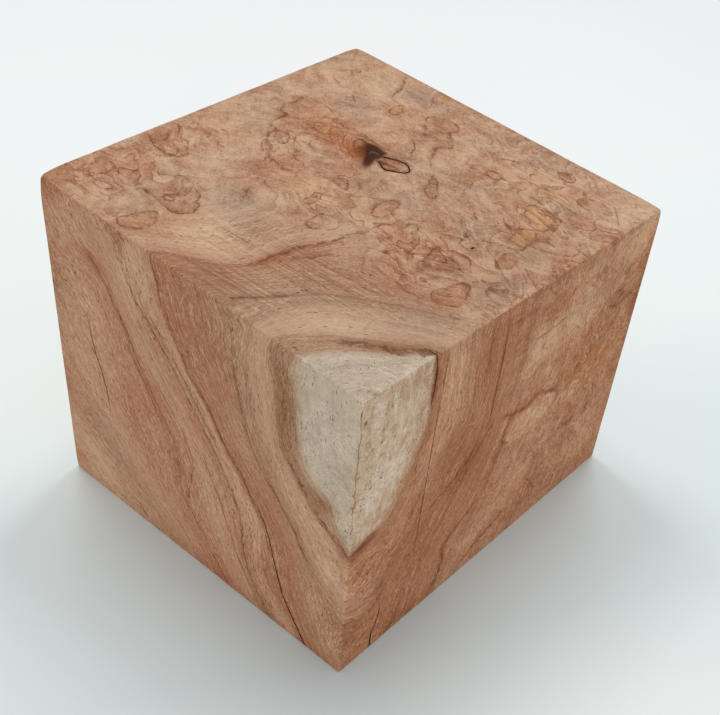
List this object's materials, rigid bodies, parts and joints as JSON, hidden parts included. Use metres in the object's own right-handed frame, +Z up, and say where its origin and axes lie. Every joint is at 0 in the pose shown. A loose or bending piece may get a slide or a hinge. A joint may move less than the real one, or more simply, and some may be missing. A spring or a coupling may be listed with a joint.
{
  "type": "wooden block",
  "caption": "Sawn block of figured burl wood, nearly a cube and a little out of square, with eased edges, drying checks and a knot in its top; a blank for turning or carving.",
  "frame": {"origin": "centre of the block's bounding box at its base", "axes": "+Z up; -Y is the front face, with the long check that runs out at its foot; +X is the skewed right face, and the top falls towards it"},
  "size_m": [0.1435, 0.1535, 0.129],
  "materials": {
    "burl_wood": "raw, fine sawn and sanded"
  },
  "bodies": {
    "root": {"wood_block": "burl_wood"}
  },
  "joints": []
}
